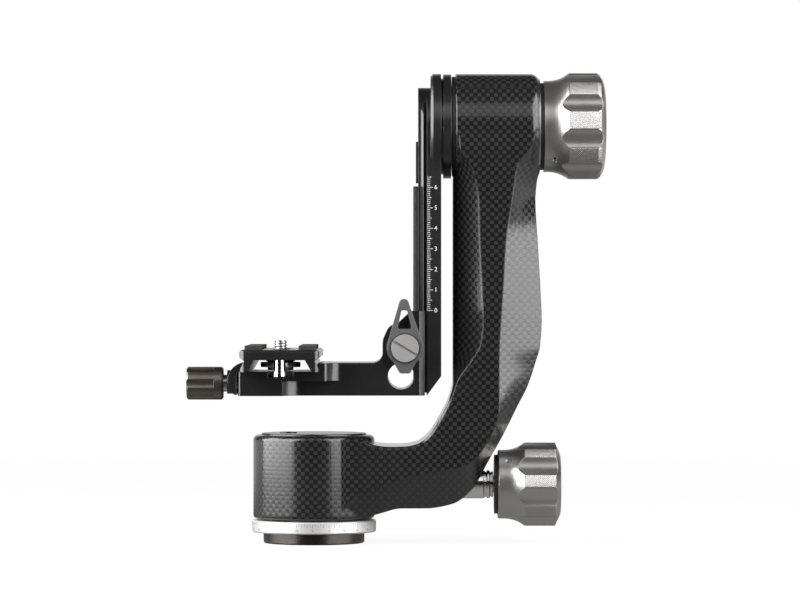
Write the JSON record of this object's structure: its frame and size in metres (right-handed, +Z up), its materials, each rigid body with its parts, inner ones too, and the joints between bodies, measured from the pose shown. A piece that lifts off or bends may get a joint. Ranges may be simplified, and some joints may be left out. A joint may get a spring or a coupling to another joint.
{
  "type": "gimbal tripod head",
  "caption": "Gimbal head for a long lens: a woven carbon arm pans on a graduated base and carries a swinging rail with a sliding cradle, lens clamp and quick-release plate.",
  "frame": {"origin": "centre of the tripod thread's mouth, on the underside of the base flange", "axes": "+Z up along the pan axis, +X from the pan axis towards the arm and the tilt knob, Y along the lens, -Y towards the height lever"},
  "size_m": [0.2055, 0.1, 0.2304],
  "materials": {
    "gunmetal": "dark brown-grey anodised",
    "scale_silver": "satin anodised",
    "knob_silver": "bead-blasted matte anodised",
    "carbon": "satin clear coat over plain-weave carbon fibre",
    "black_anodised": "matte black anodised",
    "rail_grey": "dark grey anodised",
    "lever_grey": "textured cast grey",
    "steel": "machined",
    "polished_steel": "polished",
    "rubber": "matte",
    "inner_aluminium": "machined",
    "brake_plastic": "plain",
    "black_plastic": "matte",
    "vial": "clear vial"
  },
  "bodies": {
    "base": {"base_flange": "gunmetal", "pan_scale_ring": "scale_silver", "pan_spindle": "inner_aluminium", "base_screws": "steel", "pan_bearing_inner_races": "steel", "pan_spindle_nut": "steel"},
    "arm": {"swing_arm": "carbon", "pan_sleeve": "inner_aluminium", "pan_bearing_outer_races": "steel", "pan_bearing_balls": "steel", "pan_top_cap": "black_anodised", "pan_level": "vial", "cap_screws": "black_anodised", "pan_lock_tube": "black_anodised", "tilt_sleeve": "inner_aluminium", "tilt_seal_ring": "black_plastic", "tilt_bearing_outer_races": "steel", "tilt_bearing_balls": "steel", "tilt_end_plug": "inner_aluminium"},
    "pan_brake": {"pan_brake_pad": "brake_plastic"},
    "pan_lock": {"pan_knob": "knob_silver", "pan_knob_washer": "black_plastic", "pan_lock_screw": "steel", "pan_knob_set_screw": "steel"},
    "tilt_brake": {"tilt_brake_pad": "brake_plastic"},
    "tilt_lock": {"tilt_knob": "knob_silver", "tilt_knob_washer": "black_plastic", "tilt_lock_screw": "steel", "tilt_knob_set_screw": "steel"},
    "rail": {"swing_rail": "rail_grey", "rail_dovetail": "rail_grey", "rail_stop": "black_plastic", "rail_screws": "steel", "tilt_axle": "black_anodised", "axle_screws": "steel", "tilt_bearing_inner_races": "steel", "tilt_axle_nut": "steel"},
    "cradle": {"cradle_bracket": "black_anodised"},
    "height_clamp": {"height_jaw": "black_anodised", "height_jaw_pins": "steel"},
    "lever": {"height_lever": "lever_grey", "height_lever_screw": "steel", "height_lever_washer": "black_plastic"},
    "lens_clamp": {"lens_jaw": "black_anodised", "lens_jaw_pins": "steel"},
    "lens_lock": {"lens_clamp_knob": "gunmetal", "lens_clamp_screw": "steel"},
    "plate": {"lens_plate": "black_anodised", "plate_rubber_strips": "rubber", "plate_stop_screws": "polished_steel"},
    "screw_collar": {"camera_screw_collar": "black_plastic"},
    "thumb_screw": {"camera_screw": "steel"}
  },
  "joints": [
    {"name": "pan", "type": "hinge", "parent": "base", "child": "arm", "pos_m": [0, 0, 0.03], "axis": [0, 0, 1], "continuous": true},
    {"name": "tilt", "type": "hinge", "parent": "arm", "child": "rail", "pos_m": [0.085, 0, 0.2045], "axis": [1, 0, 0], "continuous": true},
    {"name": "pan_brake_slide", "type": "slide", "parent": "arm", "child": "pan_brake", "axis": [1, 0, 0], "range_m": [0, 0.0025]},
    {"name": "pan_knob_turn", "type": "hinge", "parent": "pan_brake", "child": "pan_lock", "pos_m": [0.1, 0, 0.02865], "axis": [1, 0, 0], "range_deg": [0, 720]},
    {"name": "tilt_brake_slide", "type": "slide", "parent": "arm", "child": "tilt_brake", "axis": [1, 0, 0], "range_m": [0, 0.0025]},
    {"name": "tilt_knob_turn", "type": "hinge", "parent": "tilt_brake", "child": "tilt_lock", "pos_m": [0.12, 0, 0.2045], "axis": [1, 0, 0], "range_deg": [0, 720]},
    {"name": "height", "type": "slide", "parent": "rail", "child": "cradle", "axis": [0, 0, 1], "range_m": [0, 0.062]},
    {"name": "height_jaw_slide", "type": "slide", "parent": "cradle", "child": "height_clamp", "axis": [0, 1, 0], "range_m": [0, 0.00035]},
    {"name": "lever_turn", "type": "hinge", "parent": "cradle", "child": "lever", "pos_m": [0.0447, -0.025, 0.09585], "axis": [0, -1, 0], "range_deg": [0, 100]},
    {"name": "lens_jaw_slide", "type": "slide", "parent": "cradle", "child": "lens_clamp", "axis": [-1, 0, 0], "range_m": [0, 0.005]},
    {"name": "lens_knob_turn", "type": "hinge", "parent": "lens_clamp", "child": "lens_lock", "pos_m": [-0.05, 0, 0.0783], "axis": [-1, 0, 0], "range_deg": [0, 1440]},
    {"name": "plate_slide", "type": "slide", "parent": "cradle", "child": "plate", "axis": [0, 1, 0], "range_m": [-0.02, 0.02]},
    {"name": "collar_slide", "type": "slide", "parent": "plate", "child": "screw_collar", "axis": [0, 1, 0], "range_m": [-0.0035, 0.0595]},
    {"name": "thumb_screw_turn", "type": "hinge", "parent": "screw_collar", "child": "thumb_screw", "pos_m": [-0.0156, -0.028, 0.09], "axis": [0, 0, 1], "continuous": true}
  ],
  "couplings": [
    {"joint": "pan_brake_slide", "follows": "pan_knob_turn", "m_per_rad": 0.00019894},
    {"joint": "tilt_brake_slide", "follows": "tilt_knob_turn", "m_per_rad": 0.00019894},
    {"joint": "height_jaw_slide", "follows": "lever_turn", "m_per_rad": 0.00019894},
    {"joint": "lens_jaw_slide", "follows": "lens_knob_turn", "m_per_rad": 0.00019894}
  ]
}
